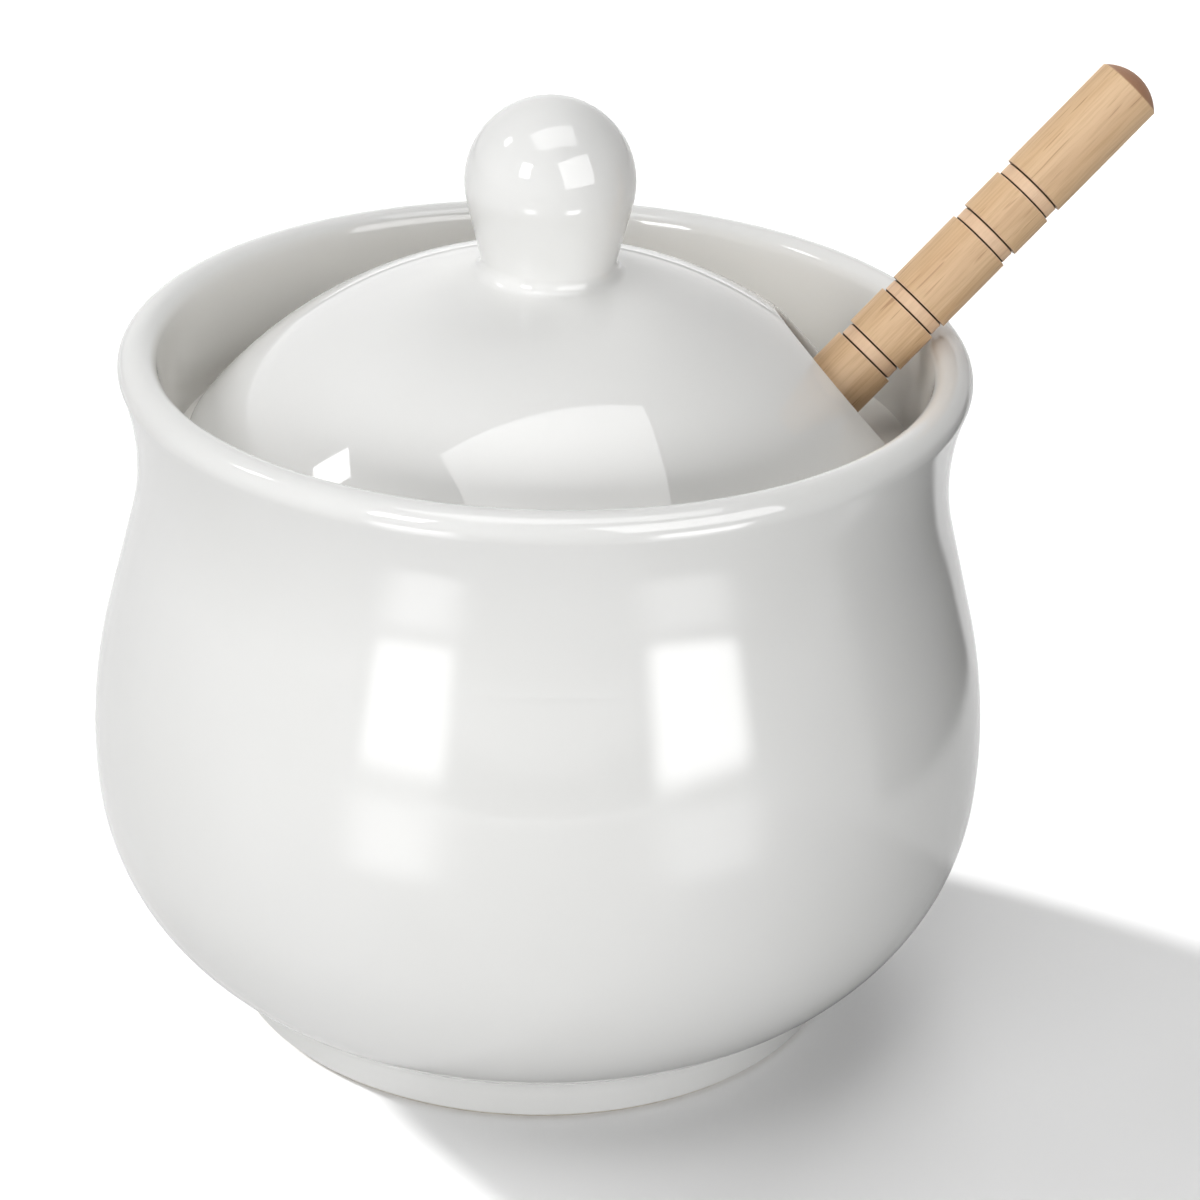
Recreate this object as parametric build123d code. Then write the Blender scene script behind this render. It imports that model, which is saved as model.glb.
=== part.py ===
from build123d import *
import math
import os

# A glazed ceramic honey pot: a bellied pot, a loose domed lid that sits on a ledge inside its
# mouth, and a turned wooden dipper that leans out through a notch in the lid's edge.
# Millimetres, +Z up. The origin is the centre of the foot, on the table.
# +X points from the pot's axis to the notch in the lid.
# Every outline is drawn as (radius, height) and turned about its axis.

# Pot, outside: the radius of each round stretch of the wall is its CURVE.
# The wall is widest at the foot of the shoulder, which turns into the rounder belly at BELLY_TOP.
WIDEST_RADIUS = 55.0
WIDEST_HEIGHT = 33.5
SHOULDER_CURVE = 65.0
BELLY_CURVE = 28.0
BELLY_TOP = 28.6
NECK_RADIUS = 48.65
NECK_HEIGHT = 70.6
NECK_CURVE = 34.0
RIM_HEIGHT = 84.5
LIP_ROUND = 2.3
FOOT_RADIUS = 38.6
FOOT_HEIGHT = 5.2
FOOT_RING = 4.4
FOOT_RECESS = 2.4
FOOT_SLOPE = 0.9
FOOT_GROOVE = 0.5
CHAMFER = 0.5

# Centres of the pot's round stretches, as (radius, height). The belly's lies on the shoulder's
# radius through their meeting point, so that they run smoothly into each other.
SHOULDER_CENTRE = (WIDEST_RADIUS - SHOULDER_CURVE, WIDEST_HEIGHT)
BELLY_DROP = math.asin((WIDEST_HEIGHT - BELLY_TOP) / SHOULDER_CURVE)
BELLY_CENTRE = (SHOULDER_CENTRE[0] + (SHOULDER_CURVE - BELLY_CURVE) * math.cos(BELLY_DROP),
                SHOULDER_CENTRE[1] - (SHOULDER_CURVE - BELLY_CURVE) * math.sin(BELLY_DROP))
NECK_CENTRE = (NECK_RADIUS + NECK_CURVE, NECK_HEIGHT)

# Pot, inside
WALL = 3.8
FLOOR_HEIGHT = 6.8
FLOOR_ROUND = 8.0
MOUTH_RADIUS = 44.9
LEDGE_RADIUS = 40.0
LEDGE_HEIGHT = 70.4
LEDGE_THICKNESS = 3.0
LEDGE_CHAMFER = 0.8

# Lid: a dome cut from a ball, whose centre lies inside the pot
DOME_RADIUS = 53.8
DOME_CENTRE = 40.2
LID_RADIUS = 43.0
LID_THICKNESS = 3.4
LID_SHOULDER = 4.0
KNOB_RADIUS = 10.0
KNOB_CENTRE = 104.2
KNOB_TAPER = 14.0
KNOB_FILLET = 1.6
NOTCH_TILT = 40.8
NOTCH_RADIUS = 14.8
NOTCH_ROUND = 1.0
CUTTER_REACH = 25.0

# Dipper, drawn upright with the tip of its head at height 0
DIPPER_LENGTH = 146.0
HANDLE_RADIUS = 4.2
CAP_HEIGHT = 1.8
RING_DEPTH = 0.35
RING_WIDTH = 1.9
RING_LINE = 0.25
RING_PAIRS_BELOW_CAP = (36.1, 16.8)
RING_PITCH = 7.3
HEAD_LENGTH = 30.0
HEAD_RADIUS = 10.0
HEAD_CURVE = 35.0
HEAD_CORE = 5.2
HEAD_DISCS = 6
DISC_THICKNESS = 3.0
DISC_CHAMFER = 0.5

# Dipper at rest: it leans outwards over the rim, and its head stands on the floor of the pot
DIPPER_LEAN = 44.2
DIPPER_TURN = 5.7
RIM_CROSSING = (40.68, -4.72, 84.7)
CROSSING_BELOW_CAP = 40.4


def turned(lines):
    """Turns a closed outline about the vertical axis."""
    return revolve(make_face(Plane.XZ * (Curve() + lines)), Axis.Z)


def toward(start, end, distance):
    """The point at a distance from start, on the way to end."""
    share = distance / math.dist(start, end)
    return (start[0] + share * (end[0] - start[0]), start[1] + share * (end[1] - start[1]))


def belly_radius(height, inset):
    """Radius of the round belly at a height, inset from its outside."""
    return BELLY_CENTRE[0] + math.sqrt((BELLY_CURVE - inset) ** 2 - (height - BELLY_CENTRE[1]) ** 2)


def wall_lines(inset, low, top):
    """The wall's outline from the height low up to the point top, inset from its outside.

    It is a round belly, a flatter shoulder, a straight stretch and a hollow neck.
    """
    shoulder = SHOULDER_CURVE - inset
    neck = NECK_CURVE + inset
    across = math.dist(SHOULDER_CENTRE, NECK_CENTRE)
    steep = math.atan2(NECK_CENTRE[1] - SHOULDER_CENTRE[1], NECK_CENTRE[0] - SHOULDER_CENTRE[0])
    turn = math.acos((shoulder + neck) / across)
    outward = (math.cos(steep - turn), math.sin(steep - turn))
    shoulder_end = (SHOULDER_CENTRE[0] + shoulder * outward[0], SHOULDER_CENTRE[1] + shoulder * outward[1])
    neck_start = (NECK_CENTRE[0] - neck * outward[0], NECK_CENTRE[1] - neck * outward[1])
    belly_end = toward(SHOULDER_CENTRE, BELLY_CENTRE, shoulder)
    return [RadiusArc((belly_radius(low, inset), low), belly_end, inset - BELLY_CURVE),
            RadiusArc(belly_end, shoulder_end, -shoulder),
            Line(shoulder_end, neck_start),
            RadiusArc(neck_start, top, neck)]


def foot_lines():
    """Recessed base, ring foot, the slope above it and the groove under the body."""
    ring_inside = FOOT_RADIUS - FOOT_RING
    body_height = FOOT_HEIGHT + FOOT_GROOVE
    body_bottom = (belly_radius(body_height, 0), body_height)
    foot_top = (body_bottom[0] - FOOT_GROOVE, FOOT_HEIGHT)
    groove = (foot_top[0] - FOOT_GROOVE / 2, FOOT_HEIGHT + FOOT_GROOVE / 2)
    return [Polyline((0, FOOT_RECESS), (ring_inside - FOOT_RECESS, FOOT_RECESS), (ring_inside, 0),
                     (FOOT_RADIUS - CHAMFER, 0), (FOOT_RADIUS, CHAMFER),
                     (FOOT_RADIUS, FOOT_HEIGHT - FOOT_SLOPE), foot_top, groove, body_bottom)]


def pot():
    """Ring foot, bellied wall, rolled lip, and the ledge inside the mouth that carries the lid."""
    lip_height = RIM_HEIGHT - LIP_ROUND
    lip_reach = math.sqrt((NECK_CURVE + LIP_ROUND) ** 2 - (lip_height - NECK_HEIGHT) ** 2)
    lip_centre = (NECK_CENTRE[0] - lip_reach, lip_height)
    lip_start = toward(NECK_CENTRE, lip_centre, NECK_CURVE)

    # The mouth's wall rises upright from the ledge and runs smoothly into the lip.
    gap = lip_centre[0] - MOUTH_RADIUS
    rise = lip_height - LEDGE_HEIGHT
    mouth_curve = (gap ** 2 + rise ** 2 - LIP_ROUND ** 2) / (2 * (gap - LIP_ROUND))
    mouth_foot = (MOUTH_RADIUS, LEDGE_HEIGHT)
    lip_end = toward((MOUTH_RADIUS + mouth_curve, LEDGE_HEIGHT), lip_centre, mouth_curve)

    under_ledge = LEDGE_HEIGHT - LEDGE_THICKNESS
    inner_neck = math.sqrt((NECK_CURVE + WALL) ** 2 - (under_ledge - NECK_HEIGHT) ** 2)
    inside_top = (NECK_CENTRE[0] - inner_neck, under_ledge)

    # The floor rounds up into the belly's inside.
    inner_belly = BELLY_CURVE - WALL
    round_height = FLOOR_HEIGHT + FLOOR_ROUND
    round_centre = (belly_radius(round_height, WALL + FLOOR_ROUND), round_height)
    round_end = toward(BELLY_CENTRE, round_centre, inner_belly)
    floor_edge = (round_centre[0], FLOOR_HEIGHT)

    outside = foot_lines() + wall_lines(0, FOOT_HEIGHT + FOOT_GROOVE, lip_start)
    lip = [ThreePointArc(lip_start, (lip_centre[0], RIM_HEIGHT), lip_end),
           RadiusArc(lip_end, mouth_foot, -mouth_curve)]
    ledge = [Polyline(mouth_foot, (LEDGE_RADIUS + LEDGE_CHAMFER, LEDGE_HEIGHT),
                      (LEDGE_RADIUS, LEDGE_HEIGHT - LEDGE_CHAMFER),
                      (LEDGE_RADIUS, under_ledge + LEDGE_CHAMFER),
                      (LEDGE_RADIUS + LEDGE_CHAMFER, under_ledge), inside_top)]
    inside = wall_lines(WALL, round_end[1], inside_top)
    floor = [RadiusArc(floor_edge, round_end, -FLOOR_ROUND),
             Polyline(floor_edge, (0, FLOOR_HEIGHT), (0, FOOT_RECESS))]
    return turned(outside + lip + ledge + inside + floor)


def dome_point(radius, ball_radius):
    """The point at a radius on the upper half of a ball about the dome's centre."""
    return (radius, DOME_CENTRE + math.sqrt(ball_radius ** 2 - radius ** 2))


def lid():
    """Domed lid with a bulb knob, notched at its edge for the dipper's handle."""
    inner_ball = DOME_RADIUS - LID_THICKNESS
    seat_inside = math.sqrt(inner_ball ** 2 - (LEDGE_HEIGHT - DOME_CENTRE) ** 2)
    shoulder_centre = dome_point(LID_RADIUS - LID_SHOULDER, DOME_RADIUS - LID_SHOULDER)
    shoulder_start = (LID_RADIUS, shoulder_centre[1])
    shoulder_end = toward((0, DOME_CENTRE), shoulder_centre, DOME_RADIUS)

    # The knob is a ball that tapers evenly down to a small round fillet on the dome.
    taper = math.radians(KNOB_TAPER)
    slope = math.tan(taper)
    outward = (math.cos(taper), -math.sin(taper))
    bulb_end = (KNOB_RADIUS * outward[0], KNOB_CENTRE + KNOB_RADIUS * outward[1])
    ball = DOME_RADIUS + KNOB_FILLET
    foot = bulb_end[0] - slope * (bulb_end[1] - DOME_CENTRE) + KNOB_FILLET / outward[0]
    climb = (math.sqrt((1 + slope ** 2) * ball ** 2 - foot ** 2) - slope * foot) / (1 + slope ** 2)
    fillet_centre = (foot + slope * climb, DOME_CENTRE + climb)
    fillet_bottom = toward((0, DOME_CENTRE), fillet_centre, DOME_RADIUS)
    fillet_top = (fillet_centre[0] - KNOB_FILLET * outward[0], fillet_centre[1] - KNOB_FILLET * outward[1])
    knob_top = (0, KNOB_CENTRE + KNOB_RADIUS)
    blank = turned([
        Polyline((seat_inside, LEDGE_HEIGHT), (LID_RADIUS - CHAMFER, LEDGE_HEIGHT),
                 (LID_RADIUS, LEDGE_HEIGHT + CHAMFER), shoulder_start),
        RadiusArc(shoulder_start, shoulder_end, -LID_SHOULDER),
        RadiusArc(shoulder_end, fillet_bottom, -DOME_RADIUS),
        RadiusArc(fillet_bottom, fillet_top, KNOB_FILLET),
        Line(fillet_top, bulb_end),
        ThreePointArc(bulb_end, (KNOB_RADIUS, KNOB_CENTRE), knob_top),
        Line(knob_top, dome_point(0, inner_ball)),
        RadiusArc(dome_point(0, inner_ball), (seat_inside, LEDGE_HEIGHT), inner_ball)])
    return blank - Location((0, 0, DOME_CENTRE), (0, 90 - NOTCH_TILT, 0)) * notch_cutter()


def notch_cutter():
    """Cutter for the wide notch, drawn upright, with the dome's centre at the origin.

    It is a round bar that flares out where it leaves the dome, in a round that softens the notch's
    upper edge, and in a chamfer at the lower one.
    """
    inner_ball = DOME_RADIUS - LID_THICKNESS
    round_radius = NOTCH_RADIUS + NOTCH_ROUND
    round_centre = (round_radius, math.sqrt((DOME_RADIUS - NOTCH_ROUND) ** 2 - round_radius ** 2))
    upper_edge = toward((0, 0), round_centre, DOME_RADIUS)
    flank_top = (NOTCH_RADIUS, round_centre[1])
    flank_bottom = (NOTCH_RADIUS, math.sqrt(inner_ball ** 2 - NOTCH_RADIUS ** 2) + CHAMFER)
    lower_radius = NOTCH_RADIUS + CHAMFER
    lower_edge = (lower_radius, math.sqrt(inner_ball ** 2 - lower_radius ** 2))
    top = DOME_RADIUS + CUTTER_REACH
    bottom = inner_ball - CUTTER_REACH
    return turned([Polyline((0, bottom), (lower_radius, bottom), lower_edge, flank_bottom, flank_top),
                   RadiusArc(flank_top, upper_edge, NOTCH_ROUND),
                   Polyline(upper_edge, (upper_edge[0], top), (0, top), (0, bottom))])


def head_radius(height):
    """Radius of the head's barrel outline at a height."""
    return HEAD_RADIUS - HEAD_CURVE + math.sqrt(HEAD_CURVE ** 2 - (height - HEAD_LENGTH / 2) ** 2)


def head_lines():
    """The head from its tip up to the handle: discs left by square grooves cut into a barrel."""
    pitch = (HEAD_LENGTH - DISC_THICKNESS) / (HEAD_DISCS - 1)
    lines = []
    root = (0, 0)
    for disc in range(HEAD_DISCS):
        low = disc * pitch
        high = low + DISC_THICKNESS
        rim_low = (head_radius(low + DISC_CHAMFER), low + DISC_CHAMFER)
        rim_high = (head_radius(high - DISC_CHAMFER), high - DISC_CHAMFER)
        lines += [Polyline(root, (rim_low[0] - DISC_CHAMFER, low), rim_low),
                  RadiusArc(rim_low, rim_high, -HEAD_CURVE),
                  Polyline(rim_high, (rim_high[0] - DISC_CHAMFER, high), (HEAD_CORE, high))]
        root = (HEAD_CORE, low + pitch)
        if disc < HEAD_DISCS - 1:
            lines.append(Line((HEAD_CORE, high), root))
    return lines


def ring_corners(middle):
    """Corners of one turned ring: a shallow band with a fine cut line at each of its edges."""
    low = middle - RING_WIDTH / 2
    high = middle + RING_WIDTH / 2
    band = HANDLE_RADIUS - RING_DEPTH
    line = band - RING_LINE
    return [(HANDLE_RADIUS, low), (line, low), (band, low + RING_LINE),
            (band, high - RING_LINE), (line, high), (HANDLE_RADIUS, high)]


def dipper_upright():
    """Turned dipper: the grooved head, a handle with two pairs of rings, and a domed cap."""
    cap_edge = DIPPER_LENGTH - CAP_HEIGHT
    corners = [(HEAD_CORE, HEAD_LENGTH), (HANDLE_RADIUS, HEAD_LENGTH + HEAD_CORE)]
    for pair in RING_PAIRS_BELOW_CAP:
        for below in (pair + RING_PITCH, pair):
            corners += ring_corners(cap_edge - below)
    corners.append((HANDLE_RADIUS, cap_edge))
    cap_ball = (HANDLE_RADIUS ** 2 + CAP_HEIGHT ** 2) / (2 * CAP_HEIGHT)
    return turned(head_lines() + [Polyline(*corners),
                                  RadiusArc((HANDLE_RADIUS, cap_edge), (0, DIPPER_LENGTH), -cap_ball),
                                  Line((0, DIPPER_LENGTH), (0, 0))])


def dipper():
    """The dipper at rest, leaning over the rim."""
    lean = math.radians(DIPPER_LEAN)
    turn = math.radians(DIPPER_TURN)
    along = Vector(math.cos(lean) * math.cos(turn), math.cos(lean) * math.sin(turn), math.sin(lean))
    crossing = DIPPER_LENGTH - CAP_HEIGHT - CROSSING_BELOW_CAP
    rest = Plane(origin=Vector(*RIM_CROSSING) - along * crossing, z_dir=along)
    return rest.location * dipper_upright()


os.makedirs("parts", exist_ok=True)
for name, piece in (("pot", pot()), ("lid", lid()), ("dipper", dipper())):
    export_step(piece, f"parts/{name}.step")
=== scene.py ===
import math

import bpy
import numpy as np
from mathutils import Matrix, Vector


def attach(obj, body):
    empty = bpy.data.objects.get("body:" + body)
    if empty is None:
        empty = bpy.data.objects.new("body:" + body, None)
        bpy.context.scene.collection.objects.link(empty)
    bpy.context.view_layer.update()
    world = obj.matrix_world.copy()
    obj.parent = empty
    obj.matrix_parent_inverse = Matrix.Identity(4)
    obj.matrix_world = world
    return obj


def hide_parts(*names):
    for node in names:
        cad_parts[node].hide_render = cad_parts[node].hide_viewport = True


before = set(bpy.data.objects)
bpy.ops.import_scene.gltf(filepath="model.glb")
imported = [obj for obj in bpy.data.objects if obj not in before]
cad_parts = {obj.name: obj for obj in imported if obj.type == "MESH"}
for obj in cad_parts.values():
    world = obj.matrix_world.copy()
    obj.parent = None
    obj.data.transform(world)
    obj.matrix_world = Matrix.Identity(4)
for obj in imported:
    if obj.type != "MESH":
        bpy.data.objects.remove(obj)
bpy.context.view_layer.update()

# The camera stands in front of the pot, a little to the left, and looks down on it.
CAMERA_PLACE = Vector((-0.0779, -0.3573, 0.2331))
CAMERA_AIM = Vector((0.00706, -0.00154, 0.0501))
CAMERA_ROLL = math.radians(1.76)
CAMERA_LENS = 99.6
SENSOR_WIDTH = 36
CAMERA_AZIMUTH = math.radians(-12.3)

# The dipper at rest: where its line crosses the rim, and its lean and turn
CROSSING = Vector((0.04068, -0.00472, 0.0847))
DIPPER_LEAN = math.radians(44.2)
DIPPER_TURN = math.radians(5.7)

# The lamps face this point, all from the same distance.
LAMP_CENTRE = Vector((0, 0, 0.055))
LAMP_DISTANCE = 1.5


def direction(azimuth, elevation):
    """Unit vector at an azimuth and elevation in degrees, counted from the camera's side to the right."""
    a = math.radians(azimuth) + CAMERA_AZIMUTH
    e = math.radians(elevation)
    return Vector((math.sin(a) * math.cos(e), -math.cos(a) * math.cos(e), math.sin(e)))


# ---------------------------------------------------------------- shapes
def added(name, points, faces):
    """A new piece in the scene, from its points and faces."""
    mesh = bpy.data.meshes.new(name)
    mesh.from_pydata(points, [], faces)
    obj = bpy.data.objects.new(name, mesh)
    bpy.context.scene.collection.objects.link(obj)
    return obj


# Millimetres, as (radius, height) outlines that are turned about the axis
WIDEST_RADIUS = 55.0
WIDEST_HEIGHT = 33.5
SHOULDER_CURVE = 65.0
BELLY_CURVE = 28.0
BELLY_TOP = 28.6
NECK_RADIUS = 48.65
NECK_HEIGHT = 70.6
NECK_CURVE = 34.0
RIM_HEIGHT = 84.5
LIP_ROUND = 2.3
FOOT_RADIUS = 38.6
FOOT_HEIGHT = 5.2
FOOT_RING = 4.4
FOOT_RECESS = 2.4
FOOT_SLOPE = 0.9
FOOT_GROOVE = 0.5
CHAMFER = 0.5
SHOULDER_CENTRE = (WIDEST_RADIUS - SHOULDER_CURVE, WIDEST_HEIGHT)
BELLY_DROP = math.asin((WIDEST_HEIGHT - BELLY_TOP) / SHOULDER_CURVE)
BELLY_CENTRE = (SHOULDER_CENTRE[0] + (SHOULDER_CURVE - BELLY_CURVE) * math.cos(BELLY_DROP),
                SHOULDER_CENTRE[1] - (SHOULDER_CURVE - BELLY_CURVE) * math.sin(BELLY_DROP))
NECK_CENTRE = (NECK_RADIUS + NECK_CURVE, NECK_HEIGHT)
WALL = 3.8
FLOOR_HEIGHT = 6.8
FLOOR_ROUND = 8.0
MOUTH_RADIUS = 44.9
LEDGE_RADIUS = 40.0
LEDGE_HEIGHT = 70.4
LEDGE_THICKNESS = 3.0
LEDGE_CHAMFER = 0.8

DOME_RADIUS = 53.8
DOME_CENTRE = 40.2
LID_RADIUS = 43.0
LID_THICKNESS = 3.4
LID_SHOULDER = 4.0
KNOB_RADIUS = 10.0
KNOB_CENTRE = 104.2
KNOB_TAPER = 14.0
KNOB_FILLET = 1.6
NOTCH_TILT = 40.8
NOTCH_RADIUS = 14.8
NOTCH_ROUND = 1.0
CUTTER_REACH = 25.0

DIPPER_LENGTH = 146.0
HANDLE_RADIUS = 4.2
CAP_HEIGHT = 1.8
RINGS_BELOW_CAP = (43.4, 36.1, 24.1, 16.8)
RING_WIDTH = 1.9
RING_DEPTH = 0.35
RING_LINE = 0.25
HEAD_LENGTH = 30.0
HEAD_RADIUS = 10.0
HEAD_CURVE = 35.0
HEAD_CORE = 5.2
HEAD_DISCS = 6
DISC_THICKNESS = 3.0
DISC_CHAMFER = 0.5
CROSSING_BELOW_CAP = 40.4

# How finely the outlines are drawn and turned
RUN_STEP = 1.0
ARC_TURN = math.radians(6)
GLAZED_SEGMENTS = 240
CUTTER_SEGMENTS = 160
DIPPER_SEGMENTS = 96
SHARP_ANGLE = math.radians(24)
SAME_POINT = 1e-6

# The outlines' millimetre, in metres
MM = 0.001


def toward(start, end, distance):
    """The point at a distance from start, on the way to end."""
    share = distance / math.dist(start, end)
    return (start[0] + share * (end[0] - start[0]), start[1] + share * (end[1] - start[1]))


def arc(centre, start, end):
    """Points evenly spread round a centre from start to end, the shorter way."""
    first = math.atan2(start[1] - centre[1], start[0] - centre[0])
    last = math.atan2(end[1] - centre[1], end[0] - centre[0])
    turn = (last - first + math.pi) % (2 * math.pi) - math.pi
    radius = math.dist(centre, start)
    count = math.ceil(max(abs(turn) * radius / RUN_STEP, abs(turn) / ARC_TURN))
    t = first + turn * np.linspace(0, 1, count + 1)
    return np.stack([centre[0] + radius * np.cos(t), centre[1] + radius * np.sin(t)], 1)


def run(*corners):
    """Points evenly spread along straight runs from corner to corner."""
    parts = []
    for start, end in zip(corners, corners[1:]):
        share = np.linspace(0, 1, math.ceil(math.dist(start, end) / RUN_STEP) + 1)[:, None]
        parts.append(np.array(start) * (1 - share) + np.array(end) * share)
    return np.concatenate(parts)


def joined(*parts):
    """One outline from its parts, each point once."""
    points = np.concatenate(parts)
    apart = np.linalg.norm(np.diff(points, axis=0), axis=1) > SAME_POINT
    return points[np.concatenate([[True], apart])]


def turned(name, outline, segments, place=None):
    """A closed surface of revolution, in metres.

    The outline's point (r, z) goes to (r cos t, r sin t, z) at evenly spread angles t. The outline's
    two ends lie on the axis, and each is one vertex with a fan of triangles.
    """
    r, z = outline[1:-1].T * MM
    t = np.linspace(0, 2 * math.pi, segments, endpoint=False)
    grid = np.stack([np.outer(r, np.cos(t)), np.outer(r, np.sin(t)), np.outer(z, np.ones(segments))], 2)
    poles = np.array([[0, 0, outline[0][1]], [0, 0, outline[-1][1]]]) * MM
    points = np.concatenate([grid.reshape(-1, 3), poles])
    if place is not None:
        turn = np.array(place)
        points = points @ turn[:3, :3].T + turn[:3, 3]
    here = np.arange(segments)
    beside = np.roll(here, -1)
    rows = np.arange(len(r) - 1)[:, None] * segments
    quads = np.stack([rows + here, rows + beside, rows + beside + segments, rows + here + segments], 2)
    low, high = len(r) * segments, len(r) * segments + 1
    last = (len(r) - 1) * segments
    fans = np.concatenate([np.stack([np.full(segments, low), beside, here], 1),
                           np.stack([last + here, last + beside, np.full(segments, high)], 1)])
    return added(name, points.tolist(), quads.reshape(-1, 4).tolist() + fans.tolist())


def smoothed(piece):
    """The piece, shaded smooth but for its sharp edges."""
    piece.data.shade_smooth()
    piece.data.set_sharp_from_angle(angle=SHARP_ANGLE)
    return piece


def wall(inset, low, top):
    """The wall's outline from the height low up to the point top, inset from its outside."""
    shoulder = SHOULDER_CURVE - inset
    neck = NECK_CURVE + inset
    across = math.dist(SHOULDER_CENTRE, NECK_CENTRE)
    steep = math.atan2(NECK_CENTRE[1] - SHOULDER_CENTRE[1], NECK_CENTRE[0] - SHOULDER_CENTRE[0])
    turn = math.acos((shoulder + neck) / across)
    outward = (math.cos(steep - turn), math.sin(steep - turn))
    shoulder_end = (SHOULDER_CENTRE[0] + shoulder * outward[0], SHOULDER_CENTRE[1] + shoulder * outward[1])
    neck_start = (NECK_CENTRE[0] - neck * outward[0], NECK_CENTRE[1] - neck * outward[1])
    belly_end = toward(SHOULDER_CENTRE, BELLY_CENTRE, shoulder)
    return joined(arc(BELLY_CENTRE, (belly_radius(low, inset), low), belly_end),
                  arc(SHOULDER_CENTRE, belly_end, shoulder_end),
                  run(shoulder_end, neck_start), arc(NECK_CENTRE, neck_start, top))


def belly_radius(height, inset):
    """Radius of the round belly at a height, inset from its outside."""
    return BELLY_CENTRE[0] + math.sqrt((BELLY_CURVE - inset) ** 2 - (height - BELLY_CENTRE[1]) ** 2)


def pot_outline():
    """Recessed base, ring foot, groove, bellied wall, rolled lip, ledge, inside and floor."""
    ring_inside = FOOT_RADIUS - FOOT_RING
    body_height = FOOT_HEIGHT + FOOT_GROOVE
    body_bottom = (belly_radius(body_height, 0), body_height)
    foot_top = (body_bottom[0] - FOOT_GROOVE, FOOT_HEIGHT)
    groove = (foot_top[0] - FOOT_GROOVE / 2, FOOT_HEIGHT + FOOT_GROOVE / 2)
    lip_height = RIM_HEIGHT - LIP_ROUND
    lip_reach = math.sqrt((NECK_CURVE + LIP_ROUND) ** 2 - (lip_height - NECK_HEIGHT) ** 2)
    lip_centre = (NECK_CENTRE[0] - lip_reach, lip_height)
    lip_start = toward(NECK_CENTRE, lip_centre, NECK_CURVE)
    lip_top = (lip_centre[0], RIM_HEIGHT)
    gap = lip_centre[0] - MOUTH_RADIUS
    rise = lip_height - LEDGE_HEIGHT
    mouth_curve = (gap ** 2 + rise ** 2 - LIP_ROUND ** 2) / (2 * (gap - LIP_ROUND))
    mouth_centre = (MOUTH_RADIUS + mouth_curve, LEDGE_HEIGHT)
    mouth_foot = (MOUTH_RADIUS, LEDGE_HEIGHT)
    lip_end = toward(mouth_centre, lip_centre, mouth_curve)
    ledge_face = LEDGE_RADIUS + LEDGE_CHAMFER
    under_ledge = LEDGE_HEIGHT - LEDGE_THICKNESS
    inner_neck = math.sqrt((NECK_CURVE + WALL) ** 2 - (under_ledge - NECK_HEIGHT) ** 2)
    inside_top = (NECK_CENTRE[0] - inner_neck, under_ledge)
    round_height = FLOOR_HEIGHT + FLOOR_ROUND
    round_centre = (belly_radius(round_height, WALL + FLOOR_ROUND), round_height)
    round_end = toward(BELLY_CENTRE, round_centre, BELLY_CURVE - WALL)
    floor_edge = (round_centre[0], FLOOR_HEIGHT)
    return joined(
        run((0, FOOT_RECESS), (ring_inside - FOOT_RECESS, FOOT_RECESS), (ring_inside, 0),
            (FOOT_RADIUS - CHAMFER, 0), (FOOT_RADIUS, CHAMFER), (FOOT_RADIUS, FOOT_HEIGHT - FOOT_SLOPE),
            foot_top, groove, body_bottom),
        wall(0, body_height, lip_start),
        arc(lip_centre, lip_start, lip_top), arc(lip_centre, lip_top, lip_end),
        arc(mouth_centre, lip_end, mouth_foot),
        run(mouth_foot, (ledge_face, LEDGE_HEIGHT), (LEDGE_RADIUS, LEDGE_HEIGHT - LEDGE_CHAMFER),
            (LEDGE_RADIUS, under_ledge + LEDGE_CHAMFER), (ledge_face, under_ledge), inside_top),
        wall(WALL, round_end[1], inside_top)[::-1], arc(round_centre, round_end, floor_edge),
        run(floor_edge, (0, FLOOR_HEIGHT)))


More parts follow.
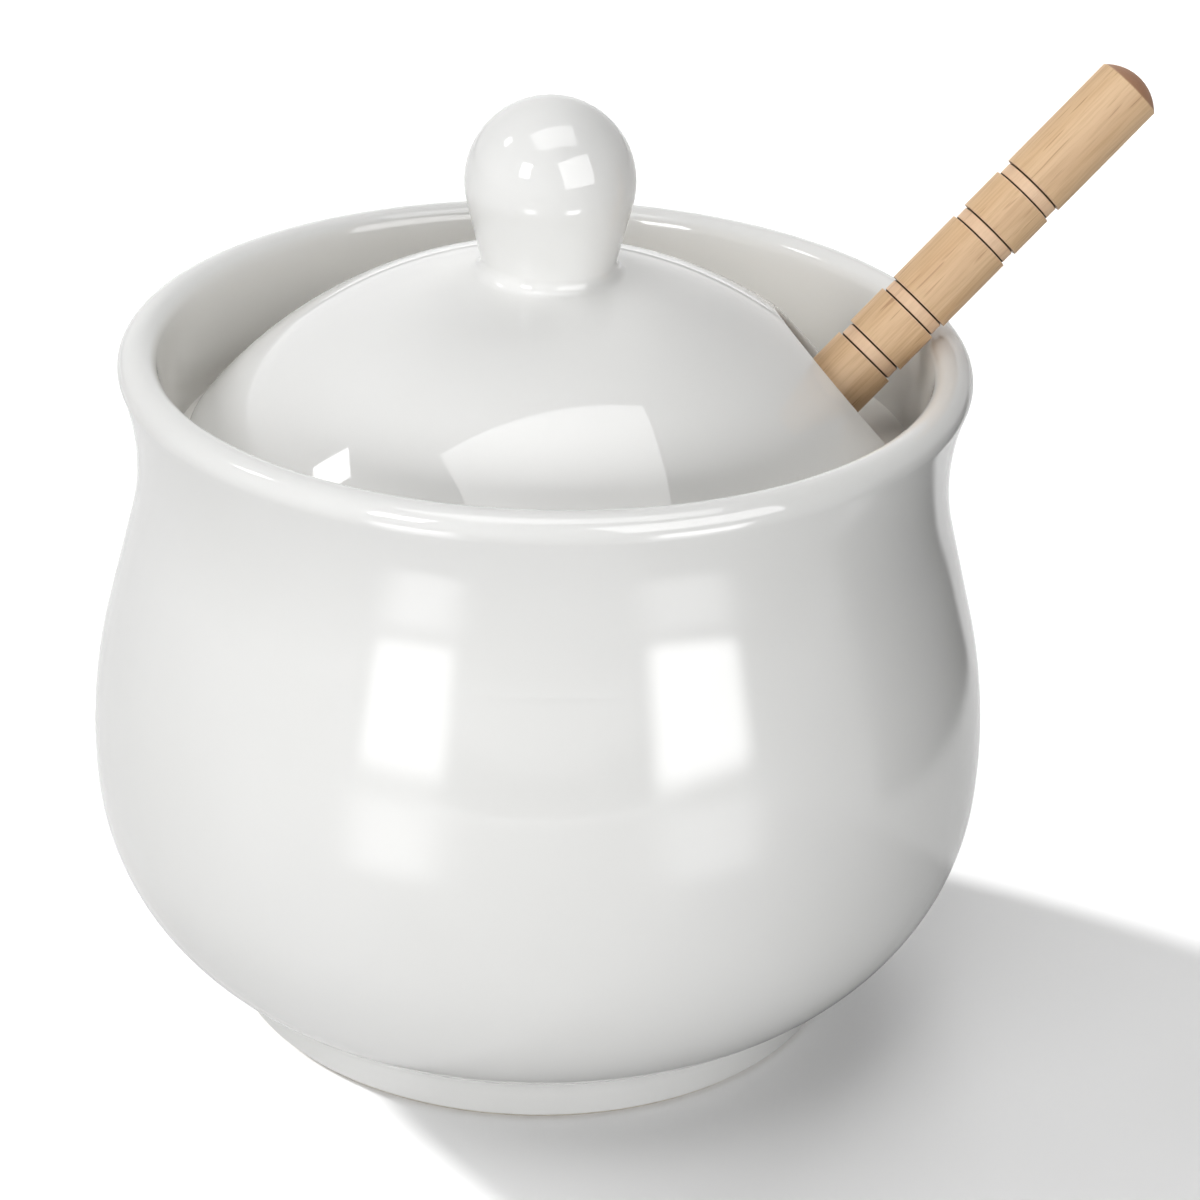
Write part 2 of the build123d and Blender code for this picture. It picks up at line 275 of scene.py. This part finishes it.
def lid_outline():
    """Hollow dome, seat, round shoulder, and the bulb knob on its small fillet."""
    centre = (0, DOME_CENTRE)
    inner_ball = DOME_RADIUS - LID_THICKNESS
    seat_inside = math.sqrt(inner_ball ** 2 - (LEDGE_HEIGHT - DOME_CENTRE) ** 2)
    shoulder_radius = LID_RADIUS - LID_SHOULDER
    shoulder_centre = (shoulder_radius,
                       DOME_CENTRE + math.sqrt((DOME_RADIUS - LID_SHOULDER) ** 2 - shoulder_radius ** 2))
    shoulder_start = (LID_RADIUS, shoulder_centre[1])
    shoulder_end = toward(centre, shoulder_centre, DOME_RADIUS)
    taper = math.radians(KNOB_TAPER)
    slope = math.tan(taper)
    outward = (math.cos(taper), -math.sin(taper))
    bulb_end = (KNOB_RADIUS * outward[0], KNOB_CENTRE + KNOB_RADIUS * outward[1])
    ball = DOME_RADIUS + KNOB_FILLET
    foot = bulb_end[0] - slope * (bulb_end[1] - DOME_CENTRE) + KNOB_FILLET / outward[0]
    climb = (math.sqrt((1 + slope ** 2) * ball ** 2 - foot ** 2) - slope * foot) / (1 + slope ** 2)
    fillet_centre = (foot + slope * climb, DOME_CENTRE + climb)
    fillet_bottom = toward(centre, fillet_centre, DOME_RADIUS)
    fillet_top = (fillet_centre[0] - KNOB_FILLET * outward[0], fillet_centre[1] - KNOB_FILLET * outward[1])
    return joined(
        arc(centre, (0, DOME_CENTRE + inner_ball), (seat_inside, LEDGE_HEIGHT)),
        run((seat_inside, LEDGE_HEIGHT), (LID_RADIUS - CHAMFER, LEDGE_HEIGHT),
            (LID_RADIUS, LEDGE_HEIGHT + CHAMFER), shoulder_start),
        arc(shoulder_centre, shoulder_start, shoulder_end), arc(centre, shoulder_end, fillet_bottom),
        arc(fillet_centre, fillet_bottom, fillet_top), run(fillet_top, bulb_end),
        arc((0, KNOB_CENTRE), bulb_end, (0, KNOB_CENTRE + KNOB_RADIUS)))


def cutter_outline():
    """The notch's cutter: a round bar about the dome's centre that flares at the dome's two faces."""
    inner_ball = DOME_RADIUS - LID_THICKNESS
    round_radius = NOTCH_RADIUS + NOTCH_ROUND
    round_centre = (round_radius, math.sqrt((DOME_RADIUS - NOTCH_ROUND) ** 2 - round_radius ** 2))
    upper_edge = toward((0, 0), round_centre, DOME_RADIUS)
    flank_top = (NOTCH_RADIUS, round_centre[1])
    flank_bottom = (NOTCH_RADIUS, math.sqrt(inner_ball ** 2 - NOTCH_RADIUS ** 2) + CHAMFER)
    lower_radius = NOTCH_RADIUS + CHAMFER
    lower_edge = (lower_radius, math.sqrt(inner_ball ** 2 - lower_radius ** 2))
    top = DOME_RADIUS + CUTTER_REACH
    bottom = inner_ball - CUTTER_REACH
    return joined(run((0, bottom), (lower_radius, bottom), lower_edge, flank_bottom, flank_top),
                  arc(round_centre, flank_top, upper_edge), run(upper_edge, (upper_edge[0], top), (0, top)))


def head_radius(height):
    """Radius of the head's barrel outline at a height."""
    return HEAD_RADIUS - HEAD_CURVE + math.sqrt(HEAD_CURVE ** 2 - (height - HEAD_LENGTH / 2) ** 2)


def dipper_outline():
    """Grooved head, handle with two pairs of turned rings, and the domed end."""
    pitch = (HEAD_LENGTH - DISC_THICKNESS) / (HEAD_DISCS - 1)
    barrel_centre = (HEAD_RADIUS - HEAD_CURVE, HEAD_LENGTH / 2)
    parts = [run((0, 0), (head_radius(DISC_CHAMFER) - DISC_CHAMFER, 0))]
    for disc in range(HEAD_DISCS):
        low = disc * pitch
        high = low + DISC_THICKNESS
        rim_low = (head_radius(low + DISC_CHAMFER), low + DISC_CHAMFER)
        rim_high = (head_radius(high - DISC_CHAMFER), high - DISC_CHAMFER)
        parts += [run((rim_low[0] - DISC_CHAMFER, low), rim_low), arc(barrel_centre, rim_low, rim_high),
                  run(rim_high, (rim_high[0] - DISC_CHAMFER, high), (HEAD_CORE, high))]
        if disc < HEAD_DISCS - 1:
            after = low + pitch
            parts.append(run((HEAD_CORE, high), (HEAD_CORE, after),
                             (head_radius(after + DISC_CHAMFER) - DISC_CHAMFER, after)))
    cap_edge = DIPPER_LENGTH - CAP_HEIGHT
    corners = [(HEAD_CORE, HEAD_LENGTH), (HANDLE_RADIUS, HEAD_LENGTH + HEAD_CORE)]
    band = HANDLE_RADIUS - RING_DEPTH
    for below in RINGS_BELOW_CAP:
        low = cap_edge - below - RING_WIDTH / 2
        high = cap_edge - below + RING_WIDTH / 2
        corners += [(HANDLE_RADIUS, low), (band - RING_LINE, low), (band, low + RING_LINE),
                    (band, high - RING_LINE), (band - RING_LINE, high), (HANDLE_RADIUS, high)]
    corners.append((HANDLE_RADIUS, cap_edge))
    cap_ball = (HANDLE_RADIUS ** 2 + CAP_HEIGHT ** 2) / (2 * CAP_HEIGHT)
    return joined(*parts, run(*corners),
                  arc((0, DIPPER_LENGTH - cap_ball), (HANDLE_RADIUS, cap_edge), (0, DIPPER_LENGTH)))


def glazed_pot():
    """The pot, turned finely enough for its gloss."""
    return smoothed(turned("glazed_pot", pot_outline(), GLAZED_SEGMENTS))


def glazed_lid():
    """The domed lid, with the notch cut for the handle."""
    blank = turned("lid_blank", lid_outline(), GLAZED_SEGMENTS)
    tilt = Matrix.Rotation(math.radians(90 - NOTCH_TILT), 4, "Y")
    place = Matrix.Translation((0, 0, DOME_CENTRE * MM)) @ tilt
    cutter = turned("notch_cutter", cutter_outline(), CUTTER_SEGMENTS, place)
    cut = blank.modifiers.new("notch", "BOOLEAN")
    cut.operation = "DIFFERENCE"
    cut.solver = "EXACT"
    cut.object = cutter
    bpy.context.view_layer.update()
    finished = blank.evaluated_get(bpy.context.evaluated_depsgraph_get())
    mesh = bpy.data.meshes.new_from_object(finished)
    mesh.name = "glazed_lid"
    lid = bpy.data.objects.new("glazed_lid", mesh)
    bpy.context.scene.collection.objects.link(lid)
    for spent in (blank, cutter):
        bpy.data.objects.remove(spent)
    return smoothed(lid)


def beech_dipper():
    """The dipper, leaning over the rim."""
    level = math.cos(DIPPER_LEAN)
    along = Vector((level * math.cos(DIPPER_TURN), level * math.sin(DIPPER_TURN), math.sin(DIPPER_LEAN)))
    crossing = (DIPPER_LENGTH - CAP_HEIGHT - CROSSING_BELOW_CAP) * MM
    lean = along.to_track_quat("Z", "Y").to_matrix().to_4x4()
    place = Matrix.Translation(CROSSING - along * crossing) @ lean
    return smoothed(turned("beech_dipper", dipper_outline(), DIPPER_SEGMENTS, place))


# ---------------------------------------------------------------- node helpers
def node(tree, kind, inputs=(), **settings):
    """A new node with its settings, its inputs linked from sockets or set to values."""
    made = tree.nodes.new(kind)
    for name, value in settings.items():
        setattr(made, name, value)
    for key, value in dict(inputs).items():
        if isinstance(value, bpy.types.NodeSocket):
            tree.links.new(value, made.inputs[key])
        else:
            made.inputs[key].default_value = value
    return made


def material(name):
    """A new material with its shader and output, and its object coordinates."""
    mat = bpy.data.materials.new(name)
    mat.use_nodes = True
    tree = mat.node_tree
    tree.nodes.clear()
    shader = node(tree, "ShaderNodeBsdfPrincipled")
    node(tree, "ShaderNodeOutputMaterial", {"Surface": shader.outputs["BSDF"]})
    place = node(tree, "ShaderNodeTexCoord").outputs["Object"]
    return mat, tree, shader, place


def ramp(tree, factor, stops):
    """A colour ramp through (position, colour) stops."""
    made = node(tree, "ShaderNodeValToRGB", {"Fac": factor})
    band = made.color_ramp
    while len(band.elements) < len(stops):
        band.elements.new(0.5)
    for element, (position, colour) in zip(band.elements, stops):
        element.position = position
        element.color = (*colour, 1)
    return made.outputs["Color"]


def mixed(tree, factor, first, second, blend="MIX"):
    """Two colours mixed by a factor."""
    made = node(tree, "ShaderNodeMix", data_type="RGBA", blend_type=blend)
    for key, value in (("Factor", factor), ("A", first), ("B", second)):
        socket = [s for s in made.inputs if s.name == key and s.enabled][0]
        if isinstance(value, bpy.types.NodeSocket):
            tree.links.new(value, socket)
        else:
            socket.default_value = value if key == "Factor" else (*value, 1)
    return [s for s in made.outputs if s.enabled][0]


def scaled(tree, value, low, high, to_low, to_high):
    """A value carried from one range to another, and held at its ends."""
    made = node(tree, "ShaderNodeMapRange", {"Value": value, "From Min": low, "From Max": high,
                                             "To Min": to_low, "To Max": to_high})
    return made.outputs["Result"]


def noise(tree, place, scale, detail, distortion=0.0):
    """Smooth noise over a place."""
    return node(tree, "ShaderNodeTexNoise", {"Vector": place, "Scale": scale, "Detail": detail,
                                             "Distortion": distortion}).outputs["Fac"]


def effect(name, inputs, outputs):
    """A new node group with its named inputs and outputs."""
    tree = bpy.data.node_groups.new(name, "ShaderNodeTree")
    for way, sockets in (("INPUT", inputs), ("OUTPUT", outputs)):
        for label, kind in sockets:
            tree.interface.new_socket(label, in_out=way, socket_type="NodeSocket" + kind)
    return tree, node(tree, "NodeGroupInput").outputs


# ---------------------------------------------------------------- materials
# Linear colours
GLAZE_THIN = (0.805, 0.805, 0.79)
GLAZE_THICK = (0.83, 0.83, 0.818)
GLAZE_INSIDE = (0.79, 0.775, 0.74)
CLAY_DARK = (0.66, 0.60, 0.51)
CLAY_LIGHT = (0.76, 0.71, 0.62)
BEECH_DARK = (0.60, 0.39, 0.213)
BEECH_MIDDLE = (0.655, 0.442, 0.252)
BEECH_LIGHT = (0.705, 0.492, 0.294)
PORE_SHADE = (0.80, 0.74, 0.68)
THREAD_SHADE = (0.50, 0.37, 0.26)
RING_PINK = (0.84, 0.60, 0.43)
# Part burn mark, part painted shade: the dark lines at the ring edges stand for the shade in the grooves'
# corners.
RING_EDGE_BURN_AND_SHADE = (0.03, 0.018, 0.01)
END_BROWN = (0.32, 0.148, 0.078)
WHITE = (1, 1, 1)
BLACK = (0, 0, 0)

# In metres: the glaze is warmer within MOUTH_MIDDLE of the axis and above INSIDE_LOW, each over its blend,
# and the clay is bare below FOOT_BARE_HEIGHT.
MOUTH_MIDDLE = 0.0467
MOUTH_BLEND = 0.001
INSIDE_LOW = 0.030
INSIDE_BLEND = 0.01
FOOT_BARE_HEIGHT = 0.0006

# Patterns, as repeats to the metre, and how much the wood's are drawn out along the grain
DRIFT_SCALE = 22.0
RIPPLE_SCALE = 120.0
SPECK_SCALE = 900.0
BROAD_SCALE = 420.0
PORE_SCALE = 3400.0
THREAD_SCALE = 2400.0
GRAIN_STRETCH = 0.05

# Gloss, relief, and the strength and the soft edges of the wood's colours
GLAZE_SMOOTHEST = 0.02
GLAZE_ROUGHEST = 0.04
CLAY_ROUGHNESS = 0.75
WOOD_ROUGHNESS = 0.55
BUMP_HEIGHT = 0.0003
RIPPLE_STRENGTH = 0.02
GRAIN_STRENGTH = 0.2
PORE_SHARE = 0.5
THREAD_SHARE = 0.55
RING_TINT = 0.45
RING_BLEND = 0.0001
# Width and blend of the ring edges' dark lines, which are part burn mark and part painted shade
RING_EDGE_SHADE_WIDTH = 0.6
RING_EDGE_SHADE_BLEND = 0.00006
END_TINT = 0.9
END_BLEND = 0.0002


def bumpy(tree, shader, height, strength):
    """Links a height to the shader as fine relief."""
    bump = node(tree, "ShaderNodeBump", {"Height": height, "Strength": strength, "Distance": BUMP_HEIGHT})
    tree.links.new(bump.outputs["Normal"], shader.inputs["Normal"])


def glaze_surface():
    """Effect: glossy white glaze with a faint drift of tone and gloss, and a slow ripple."""
    tree, given = effect("glaze_surface", [("Place", "Vector"), ("Thin", "Color"), ("Thick", "Color")],
                         [("Tone", "Color"), ("Roughness", "Float"), ("Ripple", "Float")])
    drift = noise(tree, given["Place"], DRIFT_SCALE, 2.0)
    pooled = scaled(tree, drift, 0.35, 0.65, 0.0, 1.0)
    gloss = scaled(tree, drift, 0.3, 0.7, GLAZE_SMOOTHEST, GLAZE_ROUGHEST)
    node(tree, "NodeGroupOutput", {"Tone": mixed(tree, pooled, given["Thin"], given["Thick"]),
                                   "Roughness": gloss,
                                   "Ripple": noise(tree, given["Place"], RIPPLE_SCALE, 1.0)})
    return tree


def glazed(name, surface):
    """A material with the glaze on it, and the glaze's own sockets."""
    mat, tree, shader, place = material(name)
    glaze = node(tree, "ShaderNodeGroup", node_tree=surface)
    tree.links.new(place, glaze.inputs["Place"])
    glaze.inputs["Thin"].default_value = (*GLAZE_THIN, 1)
    glaze.inputs["Thick"].default_value = (*GLAZE_THICK, 1)
    tree.links.new(glaze.outputs["Tone"], shader.inputs["Base Color"])
    tree.links.new(glaze.outputs["Roughness"], shader.inputs["Roughness"])
    bumpy(tree, shader, glaze.outputs["Ripple"], RIPPLE_STRENGTH)
    return mat, tree, shader, place, glaze.outputs


def pot_glaze(surface):
    """The pot's glaze, warmer inside, with bare clay under the foot."""
    mat, tree, shader, place, glaze = glazed("pot_glaze", surface)
    split = node(tree, "ShaderNodeSeparateXYZ", {"Vector": place})
    height = split.outputs["Z"]
    across = node(tree, "ShaderNodeCombineXYZ", {"X": split.outputs["X"], "Y": split.outputs["Y"]})
    radius = node(tree, "ShaderNodeVectorMath", {0: across.outputs[0]}, operation="LENGTH").outputs["Value"]
    within = scaled(tree, radius, MOUTH_MIDDLE, MOUTH_MIDDLE - MOUTH_BLEND, 0.0, 1.0)
    above = scaled(tree, height, INSIDE_LOW, INSIDE_LOW + INSIDE_BLEND, 0.0, 1.0)
    inside = node(tree, "ShaderNodeMath", {0: within, 1: above}, operation="MULTIPLY").outputs[0]
    tone = mixed(tree, inside, glaze["Tone"], GLAZE_INSIDE)
    bare = scaled(tree, height, FOOT_BARE_HEIGHT, FOOT_BARE_HEIGHT / 2, 0.0, 1.0)
    clay = ramp(tree, noise(tree, place, SPECK_SCALE, 1.0), ((0.35, CLAY_DARK), (0.7, CLAY_LIGHT)))
    tree.links.new(mixed(tree, bare, tone, clay), shader.inputs["Base Color"])
    rough = node(tree, "ShaderNodeMix", {"Factor": bare, "A": glaze["Roughness"], "B": CLAY_ROUGHNESS})
    tree.links.new(rough.outputs["Result"], shader.inputs["Roughness"])
    return mat


def near_any(tree, value, places, reach, soft):
    """A mask that is 1 where a value lies within reach of any of the places, and fades over soft beyond."""
    total = None
    for place in places:
        gap = node(tree, "ShaderNodeMath", {0: value, 1: place}, operation="SUBTRACT")
        gap = node(tree, "ShaderNodeMath", {0: gap.outputs[0]}, operation="ABSOLUTE")
        mask = scaled(tree, gap.outputs[0], reach, reach + soft, 1.0, 0.0)
        if total is not None:
            mask = node(tree, "ShaderNodeMath", {0: total, 1: mask}, operation="MAXIMUM").outputs[0]
        total = mask
    return total


def turned_beech():
    """Raw beech: fine streaks along the handle, pinker ring bands between dark lines that are part burn mark
    and part painted shade in the grooves' corners, and a dark end.
    """
    mat, tree, shader, place = material("turned_beech")
    centred = node(tree, "ShaderNodeVectorMath", {0: place, 1: CROSSING}, operation="SUBTRACT")
    # This turn lays the handle along Z.
    turn = Matrix.Rotation(DIPPER_LEAN - math.pi / 2, 3, "Y") @ Matrix.Rotation(-DIPPER_TURN, 3, "Z")
    upright = node(tree, "ShaderNodeMapping", {"Vector": centred.outputs[0], "Rotation": turn.to_euler()})
    along = upright.outputs[0]
    reach = node(tree, "ShaderNodeSeparateXYZ", {"Vector": along}).outputs["Z"]
    drawn = node(tree, "ShaderNodeMapping", {"Vector": along, "Scale": (1.0, 1.0, GRAIN_STRETCH)})
    streaks = drawn.outputs[0]
    pores = noise(tree, streaks, PORE_SCALE, 2.0)
    wood = ramp(tree, noise(tree, streaks, BROAD_SCALE, 3.0, 0.3),
                ((0.30, BEECH_DARK), (0.50, BEECH_MIDDLE), (0.70, BEECH_LIGHT)))
    colour = mixed(tree, PORE_SHARE, wood, ramp(tree, pores, ((0.38, PORE_SHADE), (0.54, WHITE))), "MULTIPLY")
    threads = ramp(tree, noise(tree, streaks, THREAD_SCALE, 1.0), ((0.29, THREAD_SHADE), (0.34, WHITE)))
    colour = mixed(tree, THREAD_SHARE, colour, threads, "MULTIPLY")
    end = CROSSING_BELOW_CAP * MM
    rings = [end - below * MM for below in RINGS_BELOW_CAP]
    bands = near_any(tree, reach, rings, RING_WIDTH * MM / 2, RING_BLEND)
    colour = mixed(tree, scaled(tree, bands, 0.0, 1.0, 0.0, RING_TINT), colour, RING_PINK)
    # Painted shade, part burn mark: dark lines at both edges of each ring, where the grooves' corners fall in
    # shade.
    edges = [ring + side * (RING_WIDTH - RING_LINE) * MM / 2 for ring in rings for side in (-1, 1)]
    ring_edge_burn_and_shade = near_any(tree, reach, edges, RING_EDGE_SHADE_WIDTH * RING_LINE * MM / 2, RING_EDGE_SHADE_BLEND)
    colour = mixed(tree, ring_edge_burn_and_shade, colour, RING_EDGE_BURN_AND_SHADE)
    cap = scaled(tree, reach, end, end + END_BLEND, 0.0, END_TINT)
    tree.links.new(mixed(tree, cap, colour, END_BROWN), shader.inputs["Base Color"])
    shader.inputs["Roughness"].default_value = WOOD_ROUGHNESS
    bumpy(tree, shader, pores, GRAIN_STRENGTH)
    return mat


def dress(piece, mat, body):
    """Gives a piece its material and its body, and hides the CAD node it stands for."""
    piece.data.materials.clear()
    piece.data.materials.append(mat)
    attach(piece, body)
    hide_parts(body)


glaze = glaze_surface()
dress(glazed_pot(), pot_glaze(glaze), "pot")
dress(glazed_lid(), glazed("lid_glaze", glaze)[0], "lid")
dress(beech_dipper(), turned_beech(), "dipper")


# ---------------------------------------------------------------- stage
FLOOR_SIZE = 6.0
# The floor's white for the object's own light, and what the glaze and the camera add to it
FLOOR_DULL = 0.32
FLOOR_MIRRORED = 0.25
FLOOR_SEEN = 0.43
# The floor glows a little near the object, and turns white over these distances from it.
FLOOR_GLOW = 0.125
FLOOR_LIT = 0.25
FLOOR_WHITE = 1.0


def floor_sheet():
    """White floor: it keeps the shadow, and gives the object less bounced light than it shows the camera."""
    s = FLOOR_SIZE
    obj = added("floor", [(-s, -s, 0), (s, -s, 0), (s, s, 0), (-s, s, 0)], [(0, 1, 2, 3)])
    mat = bpy.data.materials.new("floor_white")
    mat.use_nodes = True
    tree = mat.node_tree
    tree.nodes.clear()
    path = node(tree, "ShaderNodeLightPath")
    seen = path.outputs["Is Camera Ray"]
    whiter = node(tree, "ShaderNodeMath", {0: seen, 1: FLOOR_SEEN, 2: FLOOR_DULL}, operation="MULTIPLY_ADD")
    colour = node(tree, "ShaderNodeMath", {0: path.outputs["Is Glossy Ray"], 1: FLOOR_MIRRORED,
                                           2: whiter.outputs[0]}, operation="MULTIPLY_ADD")
    diffuse = node(tree, "ShaderNodeBsdfDiffuse", {"Color": colour.outputs[0]})
    spot = node(tree, "ShaderNodeNewGeometry").outputs["Position"]
    away = node(tree, "ShaderNodeVectorMath", {0: spot}, operation="LENGTH").outputs["Value"]
    level = scaled(tree, away, FLOOR_LIT, FLOOR_WHITE, FLOOR_GLOW, 1.0)
    shown = node(tree, "ShaderNodeMath", {0: seen, 1: level}, operation="MULTIPLY")
    glow = node(tree, "ShaderNodeEmission", {"Strength": shown.outputs[0]})
    both = node(tree, "ShaderNodeAddShader", {0: diffuse.outputs[0], 1: glow.outputs[0]})
    node(tree, "ShaderNodeOutputMaterial", {"Surface": both.outputs[0]})
    obj.data.materials.append(mat)
    return obj


floor = floor_sheet()


# ---------------------------------------------------------------- lamps
def lamp(name, azimuth, elevation, width, height, brightness, seen_by):
    """A rectangular lamp that faces the pot, seen by diffuse or by glossy rays alone.

    Its brightness is what a camera would see, with white at 1.
    """
    data = bpy.data.lights.new(name, "AREA")
    data.shape = "RECTANGLE"
    data.size, data.size_y = width, height
    data.energy = brightness * math.pi * width * height
    obj = bpy.data.objects.new(name, data)
    bpy.context.scene.collection.objects.link(obj)
    out = direction(azimuth, elevation)
    obj.location = LAMP_CENTRE + out * LAMP_DISTANCE
    obj.rotation_euler = out.to_track_quat("Z", "Y").to_euler()
    obj.visible_camera = False
    obj.visible_glossy = seen_by == "glossy"
    obj.visible_diffuse = seen_by == "diffuse"


# Name, azimuth, elevation, width, height, brightness
SHADING_LAMPS = (
    ("front_softbox", 1, 8, 1.9, 0.5, 5.6),
    ("top_softbox", -30, 68, 0.9, 0.9, 2.95),
    ("left_softbox", -97, 32, 1.1, 0.7, 3.85),
    ("back_softbox", 157, 50, 0.8, 0.8, 3.5),
    ("rear_softbox", 182, 12, 1.0, 0.6, 4.5),
)
# These only show in the glaze: windows in the knob and lip, the panel on the lid and its spot.
GLOSS_LAMPS = (
    ("window_left", -38, 30, 0.36, 0.48, 13),
    ("window_right", 41, 29, 1.20, 1.00, 5),
    ("softbox_above", 20, 80, 1.3, 0.8, 3.2),
    ("side_spot", -98, 43, 0.22, 0.22, 10),
)
for values in SHADING_LAMPS:
    lamp(*values, "diffuse")
for values in GLOSS_LAMPS:
    lamp(*values, "glossy")

SUN_AZIMUTH = -126
SUN_ELEVATION = 17
SUN_WIDTH = math.radians(5)
SUN_STRENGTH = 7.2


def low_sun(floor):
    """A low sun from behind on the left, for the floor alone, that casts the long shadow."""
    data = bpy.data.lights.new("low_sun", "SUN")
    data.angle = SUN_WIDTH
    data.energy = SUN_STRENGTH
    obj = bpy.data.objects.new("low_sun", data)
    bpy.context.scene.collection.objects.link(obj)
    obj.rotation_euler = direction(SUN_AZIMUTH, SUN_ELEVATION).to_track_quat("Z", "Y").to_euler()
    obj.visible_glossy = False
    floor_only = bpy.data.collections.new("floor_only")
    floor_only.objects.link(floor)
    obj.light_linking.receiver_collection = floor_only


low_sun(floor)


# ---------------------------------------------------------------- cards
def soft_edges():
    """Effect: a mask that is 1 in the middle of a card and falls smoothly to 0 at its edges."""
    tree, given = effect("soft_edges", [("Spot", "Vector"), ("Reach", "Vector"), ("Fade", "Vector")],
                         [("Mask", "Float")])
    size = node(tree, "ShaderNodeVectorMath", {0: given["Spot"]}, operation="ABSOLUTE").outputs[0]
    left = node(tree, "ShaderNodeVectorMath", {0: given["Reach"], 1: size}, operation="SUBTRACT").outputs[0]
    share = node(tree, "ShaderNodeVectorMath", {0: left, 1: given["Fade"]}, operation="DIVIDE").outputs[0]
    split = node(tree, "ShaderNodeSeparateXYZ", {"Vector": share})
    eased = [node(tree, "ShaderNodeMapRange", {"Value": split.outputs[axis]}, interpolation_type="SMOOTHSTEP")
             for axis in "XY"]
    mask = node(tree, "ShaderNodeMath", {0: eased[0].outputs[0], 1: eased[1].outputs[0]},
                operation="MULTIPLY")
    node(tree, "NodeGroupOutput", {"Mask": mask.outputs[0]})
    return tree


edges = soft_edges()


def card(name, azimuth, distance, side, width, low, high, strength, soft):
    """An upright card close to the pot that shows in its glaze alone. It fades over soft, across and up."""
    across, up = direction(azimuth + 90, 0), Vector((0, 0, 1))
    centre = direction(azimuth, 0) * distance + across * side + up * (low + high) / 2
    half = (width / 2, (high - low) / 2)
    signs = ((-1, -1), (1, -1), (1, 1), (-1, 1))
    obj = added(name, [centre + across * x * half[0] + up * y * half[1] for x, y in signs], [(0, 1, 2, 3)])
    uv = obj.data.uv_layers.new(name="UVMap")
    uv.data.foreach_set("uv", [value for x, y in signs for value in (x * half[0], y * half[1])])
    obj.visible_camera = obj.visible_diffuse = obj.visible_shadow = obj.visible_transmission = False
    mat, tree, shader, _ = material(name)
    faded = node(tree, "ShaderNodeGroup", node_tree=edges)
    tree.links.new(node(tree, "ShaderNodeUVMap").outputs[0], faded.inputs["Spot"])
    faded.inputs["Reach"].default_value = (*half, 1)
    faded.inputs["Fade"].default_value = (*soft, 1)
    shader.inputs["Base Color"].default_value = (*BLACK, 1)
    shader.inputs["Specular IOR Level"].default_value = 0
    shader.inputs["Emission Color"].default_value = (*WHITE, 1)
    shader.inputs["Emission Strength"].default_value = strength
    tree.links.new(faded.outputs["Mask"], shader.inputs["Alpha"])
    obj.data.materials.append(mat)


# Name, azimuth, distance from the axis, shift to the side, width, low and high edge, strength, fade
CARDS = (
    ("belly_window_left", -27.2, 0.095, 0.0044, 0.0345, 0.0495, 0.075, 6.0, (0.0085, 0.005)),
    ("belly_window_right", 33.6, 0.095, -0.005, 0.0400, 0.0485, 0.075, 8.0, (0.0095, 0.005)),
    ("belly_glow_left", -27.2, 0.0955, 0.0044, 0.044, 0.024, 0.053, 3.6, (0.018, 0.009)),
    ("belly_glow_right", 33.6, 0.0955, -0.005, 0.050, 0.024, 0.0525, 2.6, (0.018, 0.009)),
    ("dark_card", 100, 0.090, -0.0130, 0.088, 0.020, 0.085, 0.02, (0.012, 0.010)),
)
for values in CARDS:
    card(*values)


# ---------------------------------------------------------------- world
# The room darkens towards this side, between these cosines of the angle to it.
DARK_SIDE = direction(95, 20)
DARK_FROM, DARK_TO = 0.2, 0.9
ROOM_BRIGHT, ROOM_DARK = 1.08, 0.42


def studio():
    """A white room: white behind the object, bright in the glaze, and no light on the object by itself."""
    world = bpy.data.worlds.new("studio")
    bpy.context.scene.world = world
    world.use_nodes = True
    tree = world.node_tree
    tree.nodes.clear()
    path = node(tree, "ShaderNodeLightPath")
    looked = node(tree, "ShaderNodeTexCoord").outputs["Generated"]
    dark = node(tree, "ShaderNodeVectorMath", {0: looked, 1: DARK_SIDE}, operation="DOT_PRODUCT")
    level = scaled(tree, dark.outputs["Value"], DARK_FROM, DARK_TO, ROOM_BRIGHT, ROOM_DARK)
    in_glaze = node(tree, "ShaderNodeMath", {0: path.outputs["Is Glossy Ray"], 1: level},
                    operation="MULTIPLY")
    seen = node(tree, "ShaderNodeMath", {0: path.outputs["Is Camera Ray"], 1: in_glaze.outputs[0]},
                operation="ADD")
    room = node(tree, "ShaderNodeBackground", {"Color": (*WHITE, 1), "Strength": seen.outputs[0]})
    node(tree, "ShaderNodeOutputWorld", {"Surface": room.outputs[0]})


studio()


# ---------------------------------------------------------------- camera
camera = bpy.data.cameras.new("camera")
camera.lens = CAMERA_LENS
camera.sensor_width = SENSOR_WIDTH
viewer = bpy.data.objects.new("camera", camera)
bpy.context.scene.collection.objects.link(viewer)
viewer.location = CAMERA_PLACE
aim = (CAMERA_AIM - CAMERA_PLACE).to_track_quat("-Z", "Y")
viewer.rotation_euler = (aim.to_matrix() @ Matrix.Rotation(CAMERA_ROLL, 3, "Z")).to_euler()
bpy.context.scene.camera = viewer
bpy.context.scene.view_settings.view_transform = "Standard"
